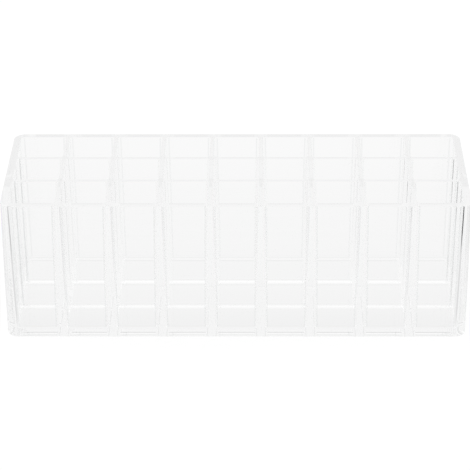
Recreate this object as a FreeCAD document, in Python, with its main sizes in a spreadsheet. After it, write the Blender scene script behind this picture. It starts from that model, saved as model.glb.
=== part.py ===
import FreeCAD, Part

import os

import Sketcher

# A clear moulded organiser for lipsticks: an open tray with a lattice of dividers that makes a
# grid of drafted cells. Lengths are in millimetres. +X runs along the front, +Y to the back and
# +Z up, and the origin is under the middle of the base, on the surface that it stands on.

# Driving dimensions: name, value and what it is.
SIZES = (
    ("columns", 9, "cells along the front"),
    ("rows", 3, "cells from front to back"),
    ("cell_pitch", 24.0, "from one cell's centre to the next"),
    ("height", 71.2, "from the surface it stands on to the rim"),
    ("floor_thickness", 2.6, "floor slab under the cells"),
    ("outer_wall", 3.8, "outer wall at the rim"),
    ("outer_corner", 5.5, "plan radius of the tray's four corners"),
    ("divider_rim", 2.0, "divider thickness at the rim"),
    ("divider_foot", 3.6, "divider thickness at the floor"),
    ("cell_fillet", 1.5, "radius in the upright corners of a cell"),
    ("ridge_height", 1.4, "low ridge on the floor under every divider"),
    ("rim_bevel", 0.4, "bevel of every edge of the rim"),
    ("base_bevel", 0.4, "bevel of the edge under the base"),
    ("seat_step", 0.3, "flat between a corner's fillet and the seam of a seated divider"),
    ("groove_width", 0.8, "width of the grooves that the tongues slide into"),
    ("groove_depth", 1.2, "depth of those grooves"),
    ("bond_gap", 0.05, "room for cement on each face of a tongue"),
    ("lap_height", 37.0, "height at which crossing dividers lap"),
)

# Lengths worked out from the driving dimensions, as expressions on the sheet.
LENGTH = "(sizes.columns * sizes.cell_pitch - sizes.divider_rim + 2 * sizes.outer_wall)"
DEPTH = "(sizes.rows * sizes.cell_pitch - sizes.divider_rim + 2 * sizes.outer_wall)"
CELL_AT_RIM = "(sizes.cell_pitch - sizes.divider_rim)"
CELL_DEPTH = "(sizes.height - sizes.floor_thickness)"
DRAFT = f"atan((sizes.divider_foot - sizes.divider_rim) / 2 / {CELL_DEPTH})"
# How far a moulded stub reaches from the middle of the wall that carries it.
STUB_REACH = "(sizes.divider_foot / 2 + sizes.cell_fillet + sizes.seat_step)"
# Distance between the opposite stub ends, across the inside of the tray.
CLEAR_LENGTH = f"(sizes.columns * sizes.cell_pitch - 2 * {STUB_REACH})"
CLEAR_DEPTH = f"(sizes.rows * sizes.cell_pitch - 2 * {STUB_REACH})"
# Top of the low ridges on the floor, which the dividers stand on.
RIDGE_TOP = "(sizes.floor_thickness + sizes.ridge_height)"
DIVIDER_HEIGHT = f"(sizes.height - {RIDGE_TOP})"
TONGUE = "(sizes.groove_width - 2 * sizes.bond_gap)"
TONGUE_REACH = "(sizes.groove_depth - sizes.bond_gap)"
# Middle of the first cell and of the first divider, from the middle of the tray.
FIRST_COLUMN = "(-(sizes.columns - 1) * sizes.cell_pitch / 2)"
FIRST_ROW = "(-(sizes.rows - 1) * sizes.cell_pitch / 2)"
FIRST_COLUMN_DIVIDER = "(-(sizes.columns - 2) * sizes.cell_pitch / 2)"
FIRST_ROW_DIVIDER = "(-(sizes.rows - 2) * sizes.cell_pitch / 2)"

# Two places closer than this are the same place, mm.
SAME_PLACE = 1e-4


doc = FreeCAD.newDocument("lipstick_organiser")
sheet = doc.addObject("Spreadsheet::Sheet", "sizes")
for line, (name, value, meaning) in enumerate(SIZES, start=1):
    sheet.set(f"A{line}", meaning)
    sheet.set(f"B{line}", str(value))
    sheet.setAlias(f"B{line}", name)
doc.recompute()


def size(expression):
    """The number that an expression on the sheet comes to."""
    return float(sheet.evalExpression(expression))


def same(first, second):
    return abs(first - second) < SAME_PLACE


# Sketches


def new_sketch(body, name, role, offset="0"):
    """A sketch on one of the body's own origin planes, moved along its normal by offset."""
    sketch = body.newObject("Sketcher::SketchObject", name)
    plane = [f for f in body.Origin.OriginFeatures if f.Role == role][0]
    sketch.AttachmentSupport = [(plane, "")]
    sketch.MapMode = "FlatFace"
    sketch.setExpression("AttachmentOffset.Base.z", offset)
    return sketch


def add_dimension(sketch, name, constraint, expression):
    sketch.renameConstraint(sketch.addConstraint(constraint), name)
    sketch.setExpression(f"Constraints.{name}", expression)


def draw_polygon(sketch, corners):
    """A closed outline through corners, each a pair of expressions for its signed place."""
    places = [FreeCAD.Vector(size(x), size(y), 0) for x, y in corners]
    count = len(places)
    for side in range(count):
        sketch.addGeometry(Part.LineSegment(places[side], places[(side + 1) % count]))
    for side, (x, y) in enumerate(corners):
        joint = Sketcher.Constraint("Coincident", side, 2, (side + 1) % count, 1)
        across = Sketcher.Constraint("DistanceX", side, 1, places[side].x)
        along = Sketcher.Constraint("DistanceY", side, 1, places[side].y)
        sketch.addConstraint(joint)
        add_dimension(sketch, f"x{side}", across, x)
        add_dimension(sketch, f"y{side}", along, y)


def draw_rectangle(sketch, left, right, low, high):
    draw_polygon(sketch, ((left, low), (right, low), (right, high), (left, high)))


# Features


def pad(body, name, sketch, length, middle=False):
    feature = body.newObject("PartDesign::Pad", name)
    feature.Profile = sketch
    feature.Midplane = middle
    feature.setExpression("Length", length)
    return feature


def pocket(body, name, sketch, depth, middle=False):
    """A cut downwards from the sketch, or to both sides of it."""
    feature = body.newObject("PartDesign::Pocket", name)
    feature.Profile = sketch
    feature.Midplane = middle
    feature.setExpression("Length", depth)
    return feature


def pattern(body, name, original, *directions):
    """Copies a cell pitch apart, of a feature or of the whole body so far. Each direction is an
    axis role and a count."""
    feature = body.newObject("PartDesign::LinearPattern", name)
    if original:
        feature.Originals = [original]
    else:
        feature.TransformMode = "Whole shape"
    for suffix, (role, count) in zip(("", "2"), directions):
        axis = [f for f in body.Origin.OriginFeatures if f.Role == role][0]
        setattr(feature, f"Direction{suffix}", (axis, [""]))
        setattr(feature, f"Mode{suffix}", "Extent")
        feature.setExpression(f"Length{suffix}", f"({count} - 1) * sizes.cell_pitch")
        feature.setExpression(f"Occurrences{suffix}", count)
    body.Tip = feature
    return feature


def picked_edges(base, chosen):
    """The edges of base that the function chosen picks, as a feature's base."""
    doc.recompute()
    edges = [f"Edge{i}" for i, edge in enumerate(base.Shape.Edges, start=1) if chosen(edge)]
    return (base, edges)


def fillet(body, name, base, radius, chosen):
    feature = body.newObject("PartDesign::Fillet", name)
    feature.Base = picked_edges(base, chosen)
    feature.setExpression("Radius", radius)
    return feature


def bevel(body, name, base, width, chosen):
    feature = body.newObject("PartDesign::Chamfer", name)
    feature.Base = picked_edges(base, chosen)
    feature.setExpression("Size", width)
    return feature


def at_height(edge, height):
    box = edge.BoundBox
    return same(box.ZMin, height) and same(box.ZMax, height)


# Sub-parts


def make_cell_cores():
    """The room inside all the cells, as the cores of a mould: drafted, rounded up the corners and
    flared at the mouth. Cutting them out shapes the whole lattice."""
    body = doc.addObject("PartDesign::Body", "cell_cores")
    rim = size("sizes.height")
    floor = size("sizes.floor_thickness")
    half = f"{CELL_AT_RIM} / 2"
    mouth = new_sketch(body, "cell_mouth", "XY_Plane", "sizes.height")
    draw_rectangle(
        mouth,
        f"{FIRST_COLUMN} - {half}",
        f"{FIRST_COLUMN} + {half}",
        f"{FIRST_ROW} - {half}",
        f"{FIRST_ROW} + {half}",
    )
    core = pad(body, "core", mouth, CELL_DEPTH)
    core.Reversed = True
    doc.recompute()
    sides = []
    for i, face in enumerate(core.Shape.Faces, start=1):
        if same(face.CenterOfMass.z, rim):
            top = f"Face{i}"
        elif not same(face.CenterOfMass.z, floor):
            sides.append(f"Face{i}")
    draft = body.newObject("PartDesign::Draft", "core_draft")
    draft.Base = (core, sides)
    draft.NeutralPlane = (core, [top])
    draft.Reversed = True
    draft.setExpression("Angle", DRAFT)

    def upright(edge):
        return edge.BoundBox.ZLength > rim / 2

    fillet(body, "core_corners", draft, "sizes.cell_fillet", upright)
    half_lip = f"({half} + sizes.rim_bevel + sizes.seat_step / 2)"
    lip_outline = new_sketch(body, "lip_outline", "XY_Plane", "sizes.height")
    draw_rectangle(
        lip_outline,
        f"{FIRST_COLUMN} - {half_lip}",
        f"{FIRST_COLUMN} + {half_lip}",
        f"{FIRST_ROW} - {half_lip}",
        f"{FIRST_ROW} + {half_lip}",
    )
    lip = pad(body, "lip", lip_outline, "sizes.rim_bevel")
    middle = FreeCAD.Vector(size(FIRST_COLUMN), size(FIRST_ROW), rim)
    outside = size(f"{half} + sizes.rim_bevel / 2")

    def round_mouth(edge):
        return at_height(edge, rim) and edge.CenterOfMass.distanceToPoint(middle) < outside

    bevel(body, "flare", lip, "sizes.rim_bevel", round_mouth)
    pattern(body, "cores", None, ("X_Axis", "sizes.columns"), ("Y_Axis", "sizes.rows"))
    return body


def make_tray_blank():
    """The tray before its cells: floor and walls round the room that the dividers fill, with a
    groove down the walls and across the floor for every tongue."""
    body = doc.addObject("PartDesign::Body", "tray_blank")
    rim = size("sizes.height")
    outline = new_sketch(body, "tray_outline", "XY_Plane")
    draw_rectangle(outline, f"-{LENGTH} / 2", f"{LENGTH} / 2", f"-{DEPTH} / 2", f"{DEPTH} / 2")
    block = pad(body, "tray_block", outline, "sizes.height")
    corners = fillet(
        body,
        "tray_corners",
        block,
        "sizes.outer_corner",
        lambda edge: same(edge.BoundBox.ZLength, rim),
    )
    base = bevel(
        body, "base_edge", corners, "sizes.base_bevel", lambda edge: at_height(edge, 0)
    )
    bevel(body, "rim_edge", base, "sizes.rim_bevel", lambda edge: at_height(edge, rim))

    inside = new_sketch(body, "inside_outline", "XY_Plane", "sizes.height")
    draw_rectangle(
        inside,
        f"-{CLEAR_LENGTH} / 2",
        f"{CLEAR_LENGTH} / 2",
        f"-{CLEAR_DEPTH} / 2",
        f"{CLEAR_DEPTH} / 2",
    )
    pocket(body, "inside", inside, DIVIDER_HEIGHT)

    groove_bottom = f"({DIVIDER_HEIGHT} + sizes.groove_depth)"
    column_groove = new_sketch(body, "column_groove_outline", "XY_Plane", "sizes.height")
    draw_rectangle(
        column_groove,
        f"{FIRST_COLUMN_DIVIDER} - sizes.groove_width / 2",
        f"{FIRST_COLUMN_DIVIDER} + sizes.groove_width / 2",
        f"-{CLEAR_DEPTH} / 2 - sizes.groove_depth",
        f"{CLEAR_DEPTH} / 2 + sizes.groove_depth",
    )
    groove = pocket(body, "column_groove", column_groove, groove_bottom)
    pattern(body, "column_grooves", groove, ("X_Axis", "sizes.columns - 1"))
    row_groove = new_sketch(body, "row_groove_outline", "XY_Plane", "sizes.height")
    draw_rectangle(
        row_groove,
        f"-{CLEAR_LENGTH} / 2 - sizes.groove_depth",
        f"{CLEAR_LENGTH} / 2 + sizes.groove_depth",
        f"{FIRST_ROW_DIVIDER} - sizes.groove_width / 2",
        f"{FIRST_ROW_DIVIDER} + sizes.groove_width / 2",
    )
    groove = pocket(body, "row_groove", row_groove, groove_bottom)
    pattern(body, "row_grooves", groove, ("Y_Axis", "sizes.rows - 1"))
    return body


def make_row_blank():
    """The front long divider before its cells: a bar as thick as its stubs on a core plate whose
    edges are the tongues. Slots from the rim down to the lap take the column dividers."""
    body = doc.addObject("PartDesign::Body", "row_blank")
    outline = new_sketch(body, "row_outline", "XY_Plane", RIDGE_TOP)
    draw_rectangle(
        outline,
        f"-{CLEAR_LENGTH} / 2",
        f"{CLEAR_LENGTH} / 2",
        f"{FIRST_ROW_DIVIDER} - {STUB_REACH}",
        f"{FIRST_ROW_DIVIDER} + {STUB_REACH}",
    )
    pad(body, "row_bar", outline, DIVIDER_HEIGHT)
    plate = new_sketch(body, "row_plate_outline", "XZ_Plane", f"-{FIRST_ROW_DIVIDER}")
    draw_rectangle(
        plate,
        f"-{CLEAR_LENGTH} / 2 - {TONGUE_REACH}",
        f"{CLEAR_LENGTH} / 2 + {TONGUE_REACH}",
        f"{RIDGE_TOP} - {TONGUE_REACH}",
        "sizes.height",
    )
    pad(body, "row_plate", plate, TONGUE, middle=True)
    slot_outline = new_sketch(body, "slot_outline", "XY_Plane", "sizes.height")
    draw_rectangle(
        slot_outline,
        f"{FIRST_COLUMN_DIVIDER} - sizes.groove_width / 2",
        f"{FIRST_COLUMN_DIVIDER} + sizes.groove_width / 2",
        f"{FIRST_ROW_DIVIDER} - {STUB_REACH}",
        f"{FIRST_ROW_DIVIDER} + {STUB_REACH}",
    )
    slot = pocket(
        body, "slot", slot_outline, "sizes.height - sizes.lap_height + sizes.bond_gap"
    )
    pattern(body, "slots", slot, ("X_Axis", "sizes.columns - 1"))
    return body


def make_column_divider():
    """A short divider with a drafted panel for each row of cells on one thin core plate. Between
    the panels the plate is a neck above the lap and is cut away below it."""
    body = doc.addObject("PartDesign::Body", "column_divider_1")
    rim = size("sizes.height")
    face = size("sizes.divider_rim / 2")
    half_rim = "sizes.divider_rim / 2"
    half_seat = f"({half_rim} + tan({DRAFT}) * {DIVIDER_HEIGHT})"
    section = new_sketch(body, "panel_section", "XZ_Plane")
    draw_polygon(
        section,
        (
            (f"-{half_seat}", RIDGE_TOP),
            (half_seat, RIDGE_TOP),
            (half_rim, "sizes.height"),
            (f"-{half_rim}", "sizes.height"),
        ),
    )
    wedge = pad(body, "panel", section, CLEAR_DEPTH, middle=True)

    def long_rim(edge):
        box = edge.BoundBox
        return at_height(edge, rim) and same(box.XMin, box.XMax) and same(abs(box.XMin), face)

    bevel(body, "panel_rim", wedge, "sizes.rim_bevel", long_rim)
    crossing_outline = new_sketch(body, "crossing_outline", "YZ_Plane")
    draw_rectangle(
        crossing_outline,
        f"{FIRST_ROW_DIVIDER} - {STUB_REACH}",
        f"{FIRST_ROW_DIVIDER} + {STUB_REACH}",
        RIDGE_TOP,
        "sizes.height",
    )
    crossing = pocket(body, "crossing", crossing_outline, f"2 * {half_seat}", middle=True)
    pattern(body, "crossings", crossing, ("Y_Axis", "sizes.rows - 1"))

    plate = new_sketch(body, "column_plate_outline", "YZ_Plane")
    draw_rectangle(
        plate,
        f"-{CLEAR_DEPTH} / 2 - {TONGUE_REACH}",
        f"{CLEAR_DEPTH} / 2 + {TONGUE_REACH}",
        f"{RIDGE_TOP} - {TONGUE_REACH}",
        "sizes.height",
    )
    pad(body, "column_plate", plate, TONGUE, middle=True)
    notch_outline = new_sketch(body, "notch_outline", "YZ_Plane")
    draw_rectangle(
        notch_outline,
        f"{FIRST_ROW_DIVIDER} - {STUB_REACH}",
        f"{FIRST_ROW_DIVIDER} + {STUB_REACH}",
        f"{RIDGE_TOP} - sizes.groove_depth",
        "sizes.lap_height",
    )
    notch = pocket(body, "notch", notch_outline, "sizes.groove_width", middle=True)
    pattern(body, "notches", notch, ("Y_Axis", "sizes.rows - 1"))
    body.setExpression("Placement.Base.x", FIRST_COLUMN_DIVIDER)
    return body


def cut_cells(name, blank, cores):
    part = doc.addObject("Part::Cut", name)
    part.Base = blank
    part.Tool = cores
    return part


def repeat(name, first, count, axis, start):
    """The first divider, placed at start, and copies of it, a cell pitch apart along an axis."""
    parts = [first]
    for number in range(2, count + 1):
        part = doc.addObject("PartDesign::Body", f"{name}_{number}")
        part.BaseFeature = first
        part.setExpression(
            f"Placement.Base.{axis}", f"{start} + {number - 1} * sizes.cell_pitch"
        )
        parts.append(part)
    return parts


def check(parts):
    """Stops the build if a feature failed, a cut missed its solid or a shape isn't sound."""
    for item in doc.Objects:
        if "Invalid" in item.State or "Error" in item.State:
            raise RuntimeError(f"{item.Label} failed")
        if item.TypeId == "PartDesign::Pocket":
            if item.Shape.Volume >= item.BaseFeature.Shape.Volume:
                raise RuntimeError(f"{item.Label} cuts nothing")
    for part in parts:
        if part.Shape.isNull() or not part.Shape.isValid() or len(part.Shape.Solids) != 1:
            raise RuntimeError(f"{part.Label} isn't one sound solid")


cores = make_cell_cores()
parts = [cut_cells("outer_tray", make_tray_blank(), cores)]
row_divider = cut_cells("row_divider_1", make_row_blank(), cores)
parts += repeat("row_divider", row_divider, int(size("sizes.rows")) - 1, "y", "0")
column_divider = make_column_divider()
column_count = int(size("sizes.columns")) - 1
parts += repeat("column_divider", column_divider, column_count, "x", FIRST_COLUMN_DIVIDER)
doc.recompute()
check(parts)

os.makedirs("parts", exist_ok=True)
for part in parts:
    part.Shape.exportStep(f"parts/{part.Label}.step")
    print(f"{part.Label}: {part.Shape.Volume / 1000:.2f} cm3, {len(part.Shape.Faces)} faces")
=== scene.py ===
"""A clear moulded lipstick organiser on a pale studio floor."""

import logging
import math
from dataclasses import dataclass, field
from enum import Enum

import bmesh
import bpy
from mathutils import Matrix, Vector


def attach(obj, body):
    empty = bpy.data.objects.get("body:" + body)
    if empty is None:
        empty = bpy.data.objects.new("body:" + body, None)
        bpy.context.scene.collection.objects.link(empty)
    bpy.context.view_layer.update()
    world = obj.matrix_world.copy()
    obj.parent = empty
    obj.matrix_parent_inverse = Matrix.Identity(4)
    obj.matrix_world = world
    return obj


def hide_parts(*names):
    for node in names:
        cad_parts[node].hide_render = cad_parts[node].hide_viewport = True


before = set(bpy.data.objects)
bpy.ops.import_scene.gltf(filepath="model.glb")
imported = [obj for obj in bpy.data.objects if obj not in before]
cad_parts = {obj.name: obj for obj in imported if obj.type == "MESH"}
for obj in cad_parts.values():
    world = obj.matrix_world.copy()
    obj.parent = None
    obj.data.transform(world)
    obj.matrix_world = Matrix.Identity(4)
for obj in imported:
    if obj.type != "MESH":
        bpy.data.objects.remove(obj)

LOG = logging.getLogger("organiser")
METRES_PER_MM = 0.001
# Neighbouring faces that meet at less than this are one rounded surface.
SMOOTH_ANGLE = math.radians(32)
# Millimetres: corners this close are one, and a face this near a level lies in it.
MERGE_WITHIN = 0.0005
LEVEL_WITHIN = 0.01
# How far a tool reaches past the face that it cuts through, in millimetres.
CLEAR_OF = 1.0
# How often light may turn or pass inside the walls, which is often from wall to wall.
LIGHT_TURNS = 96


class Face(Enum):
    """Which finish a face of a piece has, as its material slot's number.

    OPEN is polished, BONDED is cemented to another piece, and the third is the start of a corner
    radius, tinted a little darker as painted shade, which draws fine dark lines down the walls.
    """

    OPEN = 0
    BONDED = 1
    PAINTED_SHADE_RADIUS = 2


class Cut(Enum):
    """How a tool changes the piece that it meets."""

    AWAY = "DIFFERENCE"
    ON = "UNION"


class Axis(Enum):
    """A direction along which a brightness fades, as its place in a vector."""

    ACROSS = 0
    ALONG = 1
    UP = 2


# Finishes


def linear(code: str) -> tuple[float, float, float, float]:
    """Turns an sRGB hex colour into linear values.

    Args:
        code: the colour, such as "#f4f7f8".

    Returns:
        Red, green, blue and an alpha of 1.
    """
    values = [int(code[place : place + 2], 16) / 255 for place in (1, 3, 5)]
    red, green, blue = (
        value / 12.92 if value <= 0.04045 else ((value + 0.055) / 1.055) ** 2.4
        for value in values
    )
    return (red, green, blue, 1.0)


def add_node(
    material: bpy.types.Material | bpy.types.World,
    kind: str,
    settings: dict[str, object] | None = None,
    inputs: dict[str | int, object] | None = None,
) -> bpy.types.Node:
    """Adds one node with its settings, values and links.

    Args:
        material: the material or world that gets the node.
        kind: the node's type, such as "ShaderNodeMath".
        settings: properties of the node, by name.
        inputs: a value or another node's output for each input, by its name or number.

    Returns:
        The new node.
    """
    tree = material.node_tree
    node = tree.nodes.new(kind)
    for name, value in (settings or {}).items():
        setattr(node, name, value)
    for name, value in (inputs or {}).items():
        if isinstance(value, bpy.types.NodeSocket):
            tree.links.new(value, node.inputs[name])
        else:
            node.inputs[name].default_value = value
    return node


def empty_tree(owner: bpy.types.Material | bpy.types.World) -> None:
    """Switches nodes on and clears them."""
    owner.use_nodes = True
    owner.node_tree.nodes.clear()


def by_ray(
    owner: bpy.types.Material | bpy.types.World,
    straight: bpy.types.Node,
    within: bpy.types.Node,
    otherwise: bpy.types.Node,
) -> bpy.types.Node:
    """Adds the nodes that choose a shader by the kind of ray that meets it.

    Args:
        owner: the material or world that gets the nodes.
        straight: the shader that the camera sees.
        within: the shader that the plastic reflects and lets through.
        otherwise: the shader for all other light.

    Returns:
        The node with the chosen shader.
    """
    path = add_node(owner, "ShaderNodeLightPath")
    chosen = otherwise
    for ray, shader in (
        ("Is Glossy Ray", within),
        ("Is Transmission Ray", within),
        ("Is Camera Ray", straight),
    ):
        chosen = add_node(
            owner,
            "ShaderNodeMixShader",
            inputs={0: path.outputs[ray], 1: chosen.outputs[0], 2: shader.outputs[0]},
        )
    return chosen


@dataclass(frozen=True)
class Fade:
    """How the brightness of something white changes along one axis."""

    axis: Axis
    # Places along the axis, each with its brightness, where 1 is white.
    stops: tuple[tuple[float, float], ...]

    def shade(
        self, owner: bpy.types.Material | bpy.types.World, place: bpy.types.NodeSocket
    ) -> bpy.types.NodeSocket:
        """Adds the nodes that turn a place into a brightness.

        Args:
            owner: the material or world that gets the nodes.
            place: the place, as a vector in the units of the stops.

        Returns:
            The brightness, as a grey colour.
        """
        low, high = self.stops[0][0], self.stops[-1][0]
        axes = add_node(owner, "ShaderNodeSeparateXYZ", inputs={0: place})
        along = add_node(
            owner,
            "ShaderNodeMapRange",
            inputs={
                "Value": axes.outputs[self.axis.value],
                "From Min": low,
                "From Max": high,
            },
        )
        grey = add_node(owner, "ShaderNodeValToRGB", inputs={0: along.outputs[0]})
        elements = grey.color_ramp.elements
        elements.remove(elements[1])
        elements[0].color = (*[self.stops[0][1]] * 3, 1)
        for where, bright in self.stops[1:]:
            elements.new((where - low) / (high - low)).color = (bright, bright, bright, 1)
        return grey.outputs[0]


@dataclass(frozen=True)
class ClearAcrylic:
    """Clear acrylic, injection moulded in a polished mould.

    It is glass-clear and colourless, with hard, bright reflections from its rounded rims. Long
    ways through it, such as along a wall, come out a little grey.
    """

    name: str = "clear_acrylic_moulded"
    tint: str = "#ffffff"
    refractive_index: float = 1.49
    roughness: float = 0.0
    # Light lost on the way through, per metre.
    absorption_colour: str = "#c8ccce"
    absorption: float = 0.1
    # How much of a lamp's light comes through, so that the shadow is as pale as a clear thing's.
    shadow_tint: str = "#f4f5f6"

    def material(self) -> bpy.types.Material:
        """Builds the plastic's material."""
        made = bpy.data.materials.new(self.name)
        empty_tree(made)
        plastic = add_node(
            made,
            "ShaderNodeBsdfPrincipled",
            inputs={
                "Base Color": linear(self.tint),
                "IOR": self.refractive_index,
                "Roughness": self.roughness,
                "Transmission Weight": 1.0,
            },
        )
        clear = add_node(
            made, "ShaderNodeBsdfTransparent", inputs={"Color": linear(self.shadow_tint)}
        )
        path = add_node(made, "ShaderNodeLightPath")
        surface = add_node(
            made,
            "ShaderNodeMixShader",
            inputs={
                0: path.outputs["Is Shadow Ray"],
                1: plastic.outputs[0],
                2: clear.outputs[0],
            },
        )
        inside = add_node(
            made,
            "ShaderNodeVolumeAbsorption",
            inputs={"Color": linear(self.absorption_colour), "Density": self.absorption},
        )
        add_node(
            made,
            "ShaderNodeOutputMaterial",
            inputs={"Surface": surface.outputs[0], "Volume": inside.outputs[0]},
        )
        return made


@dataclass(frozen=True)
class SolventBond:
    """A joint closed with solvent cement, which melts the two faces into one.

    Nothing reflects or bends light there, so the seam doesn't show.
    """

    absorption_colour: str = "#c8ccce"
    absorption: float = 0.1

    def material(self) -> bpy.types.Material:
        """Builds the joint's material."""
        made = bpy.data.materials.new("solvent_bonded_joint")
        empty_tree(made)
        through = add_node(made, "ShaderNodeBsdfTransparent")
        inside = add_node(
            made,
            "ShaderNodeVolumeAbsorption",
            inputs={"Color": linear(self.absorption_colour), "Density": self.absorption},
        )
        add_node(
            made,
            "ShaderNodeOutputMaterial",
            inputs={"Surface": through.outputs[0], "Volume": inside.outputs[0]},
        )
        return made


@dataclass(frozen=True)
class PaleBackdrop:
    """A sheet of smooth white acrylic under the organiser, bright enough to pass for no floor."""

    colour: str = "#f4f4f4"
    # The white that the camera sees, and how much of the shading and shadow shows in it.
    straight: float = 1.06
    shadow: float = 0.12
    # What shows in and through the plastic, by the place in metres, with a painted shadow: the
    # sheet is a little dimmer under the organiser, and graded in painted darker and lighter strips
    # under each long wall and divider, because their rims show the sheet straight below them.
    depth: Fade = Fade(
        Axis.ALONG,
        (
            (-0.200, 0.95),
            (-0.080, 0.93),
            (-0.045, 0.865),
            (-0.0405, 0.87),
            (-0.0395, 0.95),
            (-0.0345, 0.95),
            (-0.0335, 0.87),
            (-0.0142, 0.9),
            (-0.0138, 0.885),
            (-0.0102, 0.885),
            (-0.0098, 0.9),
            (0.0098, 0.915),
            (0.0102, 0.865),
            (0.0138, 0.865),
            (0.0142, 0.915),
            (0.0335, 0.915),
            (0.0345, 0.85),
            (0.0395, 0.85),
            (0.0405, 0.915),
            (0.050, 0.925),
            (0.090, 0.935),
            (0.160, 0.95),
        ),
    )
    # Painted shade: dark patches far to the left and right, seen only in and through the plastic,
    # which draw the dark lines down the front corners.
    painted_dark_sides: Fade = Fade(
        Axis.ACROSS,
        (
            (-0.300, 1.0),
            (-0.250, 1.0),
            (-0.220, 0.62),
            (-0.190, 0.62),
            (-0.175, 0.8),
            (-0.125, 0.8),
            (-0.113, 1.0),
            (0.113, 1.0),
            (0.125, 0.8),
            (0.180, 0.8),
            (0.200, 0.05),
            (0.250, 0.05),
            (0.280, 1.0),
            (0.300, 1.0),
        ),
    )
    # How much of the patches shows, front to back.
    patches: Fade = Fade(
        Axis.ALONG, ((-0.090, 0.0), (-0.060, 1.0), (0.022, 1.0), (0.040, 0.0), (0.100, 0.0))
    )

    def material(self) -> bpy.types.Material:
        """Builds the floor's material."""
        made = bpy.data.materials.new("white_acrylic_floor")
        empty_tree(made)
        path = add_node(made, "ShaderNodeLightPath")
        place = add_node(made, "ShaderNodeTexCoord")
        lit = add_node(made, "ShaderNodeBsdfDiffuse", inputs={"Color": linear(self.colour)})
        where = place.outputs["Object"]
        # Only light that was reflected inside a wall meets the patches.
        turned = add_node(
            made,
            "ShaderNodeMath",
            settings={"operation": "MINIMUM"},
            inputs={0: self.patches.shade(made, where), 1: path.outputs["Glossy Depth"]},
        )
        patched = add_node(
            made,
            "ShaderNodeMix",
            settings={"data_type": "RGBA"},
            inputs={
                0: turned.outputs[0],
                6: linear("#ffffff"),
                7: self.painted_dark_sides.shade(made, where),
            },
        )
        # The painted shadow along the sheet times the painted dark patches: what the plastic shows
        # of the floor.
        both = add_node(
            made,
            "ShaderNodeVectorMath",
            settings={"operation": "MULTIPLY"},
            inputs={0: self.depth.shade(made, where), 1: patched.outputs[2]},
        )
        within = add_node(made, "ShaderNodeEmission", inputs={"Color": both.outputs[0]})
        white = add_node(made, "ShaderNodeEmission", inputs={"Strength": self.straight})
        seen = add_node(
            made,
            "ShaderNodeMixShader",
            inputs={0: 1 - self.shadow, 1: lit.outputs[0], 2: white.outputs[0]},
        )
        surface = by_ray(made, straight=seen, within=within, otherwise=lit)
        add_node(made, "ShaderNodeOutputMaterial", inputs={"Surface": surface.outputs[0]})
        return made


# Shapes, in millimetres until a piece is finished


def block(
    low: tuple[float, float, float], high: tuple[float, float, float], finish: Face
) -> bmesh.types.BMesh:
    """A box between two corners, all of one finish."""
    shape = bmesh.new()
    middle = [(first + last) / 2 for first, last in zip(low, high)]
    spans = [last - first for first, last in zip(low, high)]
    place = Matrix.Translation(middle) @ Matrix.Diagonal((*spans, 1))
    bmesh.ops.create_cube(shape, size=1, matrix=place)
    for face in shape.faces:
        face.material_index = finish.value
    return shape


def upright_edges(shape: bmesh.types.BMesh) -> list[bmesh.types.BMEdge]:
    """The edges of a box that run up it."""
    return [
        edge
        for edge in shape.edges
        if abs(edge.verts[0].co.z - edge.verts[1].co.z) > CLEAR_OF
    ]


def round_edges(
    shape: bmesh.types.BMesh, edges: list[bmesh.types.BMEdge], radius: float, segments: int
) -> None:
    """Rounds edges of a shape to a radius."""
    bmesh.ops.bevel(
        shape,
        geom=edges,
        offset=radius,
        offset_type="OFFSET",
        segments=segments,
        profile=0.5,
        affect="EDGES",
        clamp_overlap=True,
        material=-1,
    )


def repeated(shape: bmesh.types.BMesh, steps: list[Vector]) -> bmesh.types.BMesh:
    """Copies of a shape at each step, as one shape.

    Args:
        shape: the shape to copy, which is used up.
        steps: how far each copy is moved.

    Returns:
        The copies.
    """
    single = bpy.data.meshes.new("repeated")
    shape.to_mesh(single)
    shape.free()
    row = bmesh.new()
    for step in steps:
        before = len(row.verts)
        row.from_mesh(single)
        row.verts.ensure_lookup_table()
        bmesh.ops.translate(row, verts=row.verts[before:], vec=step)
    bpy.data.meshes.remove(single)
    return row


def as_object(
    name: str, shape: bmesh.types.BMesh, finishes: list[bpy.types.Material]
) -> bpy.types.Object:
    """Turns a shape into an object with the given finishes, and uses the shape up."""
    mesh = bpy.data.meshes.new(name)
    shape.to_mesh(mesh)
    shape.free()
    for finish in finishes:
        mesh.materials.append(finish)
    made = bpy.data.objects.new(name, mesh)
    bpy.context.scene.collection.objects.link(made)
    return made


def change(piece: bpy.types.Object, tool: bpy.types.Object, how: Cut, keep: bool = False) -> None:
    """Cuts a tool's shape away from a piece, or joins it on.

    Args:
        piece: the object to change.
        tool: the object that meets it.
        how: whether the tool's shape comes away or goes on.
        keep: whether the tool stays for another piece.
    """
    step = piece.modifiers.new("joinery", "BOOLEAN")
    step.operation = how.value
    step.solver = "EXACT"
    step.object = tool
    ready = piece.evaluated_get(bpy.context.evaluated_depsgraph_get())
    changed = bpy.data.meshes.new_from_object(ready)
    piece.modifiers.remove(step)
    old = piece.data
    piece.data = changed
    bpy.data.meshes.remove(old)
    if not keep:
        spare = tool.data
        bpy.data.objects.remove(tool)
        bpy.data.meshes.remove(spare)


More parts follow.
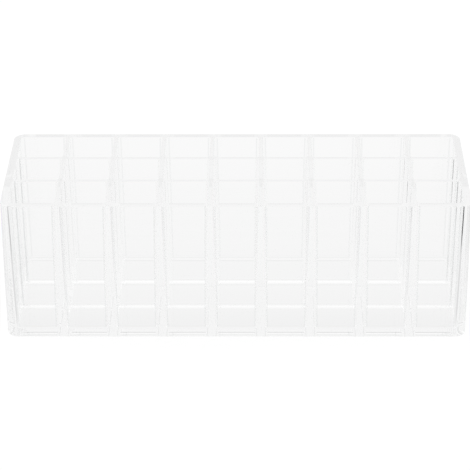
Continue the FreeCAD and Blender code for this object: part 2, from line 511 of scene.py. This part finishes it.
def finish_piece(piece: bpy.types.Object) -> None:
    """Scales a piece to metres, cleans it and shades its rounds smooth and its flats flat."""
    shape = bmesh.new()
    shape.from_mesh(piece.data)
    bmesh.ops.remove_doubles(shape, verts=shape.verts, dist=MERGE_WITHIN)
    bmesh.ops.dissolve_degenerate(shape, edges=shape.edges, dist=MERGE_WITHIN)
    bmesh.ops.recalc_face_normals(shape, faces=shape.faces)
    bmesh.ops.transform(shape, matrix=Matrix.Scale(METRES_PER_MM, 4), verts=shape.verts)
    for face in shape.faces:
        face.smooth = True
    for edge in shape.edges:
        kinds = {face.material_index == Face.BONDED.value for face in edge.link_faces}
        edge.smooth = edge.calc_face_angle(math.pi) < SMOOTH_ANGLE and len(kinds) == 1
    shape.to_mesh(piece.data)
    shape.free()
    flats = piece.modifiers.new("flat_walls", "WEIGHTED_NORMAL")
    flats.mode = "FACE_AREA"
    flats.weight = 50
    flats.keep_sharp = True


# The organiser


@dataclass
class Lattice:
    """The grid of cells, and the sizes that all its pieces share, in millimetres."""

    columns: int = 9
    rows: int = 3
    pitch: float = 24.0
    height: float = 71.2
    floor: float = 2.6
    outer_wall: float = 3.8
    divider_rim: float = 2.0
    divider_foot: float = 3.6
    cell_round: float = 1.5
    floor_round: float = 1.3
    rim_round: float = 0.5
    # The faces of a corner radius next to a long wall, which get a darker tint as painted shade:
    # those whose direction has this much of X in it.
    least_lean: float = 0.05
    most_lean: float = 0.45
    seat_step: float = 0.3
    ridge: float = 1.4
    groove: float = 0.8
    groove_depth: float = 1.2
    bond: float = 0.05
    lap: float = 37.0
    # How much thicker a short divider starts on each face, for the cores to cut back.
    spare: float = 0.5
    # Faces round a quarter turn of a cell's fillets and of a rim.
    fillet_segments: int = 7
    rim_segments: int = 5

    def __post_init__(self) -> None:
        """Works out the places that follow from the sizes."""
        self.reach = self.divider_foot / 2 + self.cell_round + self.seat_step
        self.seam_x = self.columns * self.pitch / 2 - self.reach
        self.seam_y = self.rows * self.pitch / 2 - self.reach
        self.seat = self.floor + self.ridge
        self.tongue = self.groove / 2 - self.bond
        self.tongue_reach = self.groove_depth - self.bond
        self.length = self.columns * self.pitch - self.divider_rim + 2 * self.outer_wall
        self.depth = self.rows * self.pitch - self.divider_rim + 2 * self.outer_wall

    def cell_steps(self) -> list[Vector]:
        """The middle of every cell."""
        return [
            Vector(
                (
                    (column - (self.columns - 1) / 2) * self.pitch,
                    (row - (self.rows - 1) / 2) * self.pitch,
                    0,
                )
            )
            for row in range(self.rows)
            for column in range(self.columns)
        ]

    def column_places(self) -> list[float]:
        """The X of every short divider, left to right."""
        return [
            (number - (self.columns - 2) / 2) * self.pitch for number in range(self.columns - 1)
        ]

    def row_places(self) -> list[float]:
        """The Y of every long divider, front to back."""
        return [(number - (self.rows - 2) / 2) * self.pitch for number in range(self.rows - 1)]

    def core(self) -> bmesh.types.BMesh:
        """The room in one cell: drafted, rounded below and up the corners, flared at the rim.

        Returns:
            A closed shape that reaches a little above the rim.
        """
        half_rim = (self.pitch - self.divider_rim) / 2
        half_foot = (self.pitch - self.divider_foot) / 2
        draft = (half_rim - half_foot) / (self.height - self.floor)
        top = self.height - self.rim_round
        half_top = half_rim - draft * self.rim_round
        shape = block((-half_top, -half_top, self.floor), (half_top, half_top, top), Face.OPEN)
        lower = [vert for vert in shape.verts if vert.co.z < top - CLEAR_OF]
        narrowing = Matrix.Diagonal((half_foot / half_top, half_foot / half_top, 1, 1))
        bmesh.ops.transform(shape, matrix=narrowing, verts=lower)
        round_edges(shape, upright_edges(shape), self.cell_round, self.fillet_segments)
        below = [
            edge
            for edge in shape.edges
            if max(vert.co.z for vert in edge.verts) < self.floor + CLEAR_OF
        ]
        round_edges(shape, below, self.floor_round, self.fillet_segments)
        straight = half_top - self.cell_round
        shape.normal_update()
        # The faces where a corner radius starts get the darker tint of painted shade.
        for face in shape.faces:
            leaning = self.least_lean < abs(face.normal.x) < self.most_lean
            if leaning and face.calc_center_median().z > self.floor + self.floor_round:
                face.material_index = Face.PAINTED_SHADE_RADIUS.value

        mouth = max(shape.faces, key=lambda face: face.calc_center_median().z)
        ring = [vert.co.copy() for vert in mouth.verts]
        turns = [
            math.pi / 2 * step / self.rim_segments for step in range(1, self.rim_segments + 1)
        ]
        profile = [
            (self.rim_round * (1 - math.cos(turn)), top + self.rim_round * math.sin(turn))
            for turn in turns
        ]
        profile.append((profile[-1][0], self.height + self.rim_round))
        for outward, level in profile:
            grown = bmesh.ops.extrude_face_region(shape, geom=[mouth])["geom"]
            bmesh.ops.delete(shape, geom=[mouth], context="FACES_ONLY")
            mouth = next(item for item in grown if isinstance(item, bmesh.types.BMFace))
            for vert in mouth.verts:
                heading = vert.co.xy.normalized()
                start = min(ring, key=lambda place: (place.xy.normalized() - heading).length)
                corner = Vector(
                    [max(-straight, min(straight, value)) for value in (start.x, start.y)]
                )
                away = (start.xy - corner).normalized()
                vert.co = (*(start.xy + away * outward), level)
        return shape


@dataclass
class Organiser:
    """The whole organiser: its tray, long dividers and short dividers."""

    lattice: Lattice
    corner: float = 5.5
    base_round: float = 0.5
    corner_segments: int = 14
    plastic: ClearAcrylic = field(default_factory=ClearAcrylic)
    joint: SolventBond = field(default_factory=SolventBond)
    # Painted shade: a slightly darker tint where the tray's corner radii start, which draws fine
    # dark lines down the walls.
    radius: ClearAcrylic = field(
        default_factory=lambda: ClearAcrylic(name="clear_acrylic_painted_shade_radius", tint="#f1f2f2")
    )

    def __post_init__(self) -> None:
        """Makes the finishes and the cores that every piece is cut by."""
        self.finishes = [finish.material() for finish in (self.plastic, self.joint, self.radius)]
        cells = repeated(self.lattice.core(), self.lattice.cell_steps())
        self.cores = as_object("cell_cores", cells, self.finishes)

    def tray(self) -> bpy.types.Object:
        """The floor and outer walls, with their stubs, ridges and grooves."""
        grid = self.lattice
        half_x, half_y = grid.length / 2, grid.depth / 2
        shape = block((-half_x, -half_y, 0), (half_x, half_y, grid.height), Face.OPEN)
        round_edges(shape, upright_edges(shape), self.corner, self.corner_segments)
        for level, radius in ((0.0, self.base_round), (grid.height, grid.rim_round)):
            ring = [
                edge
                for edge in shape.edges
                if all(abs(vert.co.z - level) < LEVEL_WITHIN for vert in edge.verts)
            ]
            round_edges(shape, ring, radius, grid.rim_segments)
        piece = as_object("tray_clear", shape, self.finishes)
        above = grid.height + CLEAR_OF
        inside = block(
            (-grid.seam_x, -grid.seam_y, grid.seat), (grid.seam_x, grid.seam_y, above), Face.BONDED
        )
        change(piece, as_object("inside", inside, self.finishes), Cut.AWAY)
        across = grid.seam_y + grid.groove_depth
        groove = block(
            (-grid.groove / 2, -across, grid.seat - grid.groove_depth),
            (grid.groove / 2, across, above),
            Face.BONDED,
        )
        steps = [Vector((place, 0, 0)) for place in grid.column_places()]
        change(piece, as_object("grooves", repeated(groove, steps), self.finishes), Cut.AWAY)
        along = grid.seam_x + grid.groove_depth
        groove = block(
            (-along, -grid.groove / 2, grid.seat - grid.groove_depth),
            (along, grid.groove / 2, above),
            Face.BONDED,
        )
        steps = [Vector((0, place, 0)) for place in grid.row_places()]
        change(piece, as_object("grooves", repeated(groove, steps), self.finishes), Cut.AWAY)
        change(piece, self.cores, Cut.AWAY, keep=True)
        finish_piece(piece)
        return piece

    def open_rim(self, shape: bmesh.types.BMesh) -> bmesh.types.BMesh:
        """Gives the faces at the rim the open finish, and hands the shape back."""
        for face in shape.faces:
            if all(abs(vert.co.z - self.lattice.height) < LEVEL_WITHIN for vert in face.verts):
                face.material_index = Face.OPEN.value
        return shape

    def row_divider(self, number: int) -> bpy.types.Object:
        """A long divider with stubs at its crossings, slots above the lap, and tongues."""
        grid = self.lattice
        place = grid.row_places()[number - 1]
        bar = block(
            (-grid.seam_x, place - grid.reach, grid.seat),
            (grid.seam_x, place + grid.reach, grid.height),
            Face.BONDED,
        )
        piece = as_object(f"row_divider_{number}_clear", self.open_rim(bar), self.finishes)
        along = grid.seam_x + grid.tongue_reach
        plate = block(
            (-along, place - grid.tongue, grid.seat - grid.tongue_reach),
            (along, place + grid.tongue, grid.height),
            Face.BONDED,
        )
        change(piece, as_object("plate", self.open_rim(plate), self.finishes), Cut.ON)
        slot = block(
            (-grid.groove / 2, place - grid.reach - CLEAR_OF, grid.lap - grid.bond),
            (grid.groove / 2, place + grid.reach + CLEAR_OF, grid.height + CLEAR_OF),
            Face.BONDED,
        )
        steps = [Vector((where, 0, 0)) for where in grid.column_places()]
        change(piece, as_object("slots", repeated(slot, steps), self.finishes), Cut.AWAY)
        change(piece, self.cores, Cut.AWAY, keep=True)
        finish_piece(piece)
        return piece

    def column_divider(self, number: int) -> bpy.types.Object:
        """A short divider: three drafted panels on a thin plate with necks above the lap."""
        grid = self.lattice
        place = grid.column_places()[number - 1]
        thick = grid.divider_foot / 2 + grid.spare
        bar = block(
            (place - thick, -grid.seam_y, grid.seat),
            (place + thick, grid.seam_y, grid.height),
            Face.BONDED,
        )
        piece = as_object(f"column_divider_{number}_clear", self.open_rim(bar), self.finishes)
        crossing = block(
            (place - thick - CLEAR_OF, -grid.reach, grid.seat - CLEAR_OF),
            (place + thick + CLEAR_OF, grid.reach, grid.height + CLEAR_OF),
            Face.BONDED,
        )
        steps = [Vector((0, where, 0)) for where in grid.row_places()]
        change(piece, as_object("crossing", repeated(crossing, steps), self.finishes), Cut.AWAY)
        across = grid.seam_y + grid.tongue_reach
        plate = block(
            (place - grid.tongue, -across, grid.seat - grid.tongue_reach),
            (place + grid.tongue, across, grid.height),
            Face.BONDED,
        )
        change(piece, as_object("plate", self.open_rim(plate), self.finishes), Cut.ON)
        notch = block(
            (place - CLEAR_OF, -grid.reach, grid.floor),
            (place + CLEAR_OF, grid.reach, grid.lap),
            Face.BONDED,
        )
        change(piece, as_object("notches", repeated(notch, steps), self.finishes), Cut.AWAY)
        change(piece, self.cores, Cut.AWAY, keep=True)
        finish_piece(piece)
        return piece

    def build(self) -> None:
        """Builds every piece and puts it in its node's place."""
        places = {"outer_tray": self.tray()}
        for number in range(1, self.lattice.rows):
            places[f"row_divider_{number}"] = self.row_divider(number)
        for number in range(1, self.lattice.columns):
            places[f"column_divider_{number}"] = self.column_divider(number)
        for node, piece in places.items():
            # Only the tray's corner radii carry the painted shade; the dividers' go back to the
            # clear finish.
            if node != "outer_tray":
                piece.data.materials[Face.PAINTED_SHADE_RADIUS.value] = self.finishes[Face.OPEN.value]
            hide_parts(node)
            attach(piece, "root")
            LOG.info("%s: %d faces", piece.name, len(piece.data.polygons))
        spare = self.cores.data
        bpy.data.objects.remove(self.cores)
        bpy.data.meshes.remove(spare)


# The studio


@dataclass
class Studio:
    """The floor, the light and the camera."""

    # Camera: place in millimetres, turns in radians and the lens's reach in picture widths.
    camera_place: tuple[float, float, float] = (10.93, -914.4, 532.4)
    yaw: float = -0.0128
    elevation: float = 0.4983
    roll: float = -0.0061
    reach: float = 2119.6 / 470
    floor_drop: float = 0.2
    floor_half: float = 3000.0
    floor_finish: PaleBackdrop = field(default_factory=PaleBackdrop)
    # The white that the camera sees past the floor, and the light on the floor from all round.
    straight: float = 1.06
    ambient: float = 0.9
    # What shows in and through the plastic, by direction: dimmer towards the front and back.
    surroundings: Fade = Fade(
        Axis.ALONG,
        (
            (-1.0, 0.88),
            (-0.6, 0.91),
            (-0.4, 0.97),
            (0.5, 0.97),
            (0.65, 0.92),
            (0.8, 0.94),
            (1.0, 0.94),
        ),
    )
    # Dimmer near the horizon, which draws the line along the base, and brighter half way up,
    # which lights the lines along the cell floors.
    heights: Fade = Fade(
        Axis.UP,
        (
            (-1.0, 0.78),
            (0.22, 0.78),
            (0.27, 1.1),
            (0.36, 1.1),
            (0.42, 0.98),
            (0.52, 0.98),
            (0.6, 1.12),
            (0.8, 1.12),
            (0.88, 0.98),
            (1.0, 0.98),
        ),
    )

    def floor(self) -> None:
        """A wide pale floor, a hair under the base."""
        shape = bmesh.new()
        bmesh.ops.create_grid(
            shape, x_segments=1, y_segments=1, size=self.floor_half * METRES_PER_MM
        )
        down = Vector((0, 0, -self.floor_drop * METRES_PER_MM))
        bmesh.ops.translate(shape, verts=shape.verts, vec=down)
        made = as_object("studio_floor", shape, [self.floor_finish.material()])

    def world(self) -> None:
        """White all round for the camera, and uneven for what the plastic shows."""
        world = bpy.data.worlds.new("studio")
        bpy.context.scene.world = world
        empty_tree(world)
        place = add_node(world, "ShaderNodeTexCoord")
        toward = place.outputs["Generated"]
        around = add_node(
            world,
            "ShaderNodeVectorMath",
            settings={"operation": "MULTIPLY"},
            inputs={
                0: self.surroundings.shade(world, toward),
                1: self.heights.shade(world, toward),
            },
        )
        ambient = add_node(
            world,
            "ShaderNodeBackground",
            inputs={"Color": linear("#ffffff"), "Strength": self.ambient},
        )
        within = add_node(world, "ShaderNodeBackground", inputs={"Color": around.outputs[0]})
        white = add_node(
            world,
            "ShaderNodeBackground",
            inputs={"Color": linear("#ffffff"), "Strength": self.straight},
        )
        surface = by_ray(world, straight=white, within=within, otherwise=ambient)
        add_node(world, "ShaderNodeOutputWorld", inputs={"Surface": surface.outputs[0]})

    def camera(self) -> None:
        """The camera, where the photograph's lines say that it stood."""
        cos_up, sin_up = math.cos(self.elevation), math.sin(self.elevation)
        ahead = Vector((math.sin(self.yaw) * cos_up, math.cos(self.yaw) * cos_up, -sin_up))
        right = Vector((math.cos(self.yaw), -math.sin(self.yaw), 0))
        upward = right.cross(ahead)
        turned_right = math.cos(self.roll) * right + math.sin(self.roll) * upward
        turned_up = math.cos(self.roll) * upward - math.sin(self.roll) * right
        lens = bpy.data.cameras.new("camera")
        lens.sensor_width = 36.0
        lens.lens = self.reach * lens.sensor_width
        lens.clip_start = 0.01
        lens.clip_end = 100.0
        made = bpy.data.objects.new("camera", lens)
        bpy.context.scene.collection.objects.link(made)
        turn = Matrix((turned_right, turned_up, -ahead)).transposed().to_4x4()
        where = Vector(self.camera_place) * METRES_PER_MM
        made.matrix_world = Matrix.Translation(where) @ turn
        bpy.context.scene.camera = made

    def build(self) -> None:
        """Sets up the floor, light, camera and the ways that light takes through clear walls."""
        self.floor()
        self.world()
        self.camera()
        scene = bpy.context.scene
        scene.view_settings.view_transform = "Standard"
        scene.cycles.max_bounces = LIGHT_TURNS
        scene.cycles.transmission_bounces = LIGHT_TURNS
        scene.cycles.glossy_bounces = LIGHT_TURNS
        scene.cycles.transparent_max_bounces = LIGHT_TURNS
        LOG.info("studio ready")


def main() -> None:
    logging.basicConfig(level=logging.INFO, format="%(name)s: %(message)s")
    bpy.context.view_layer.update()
    Organiser(Lattice()).build()
    Studio().build()


if __name__ == "__main__":
    main()
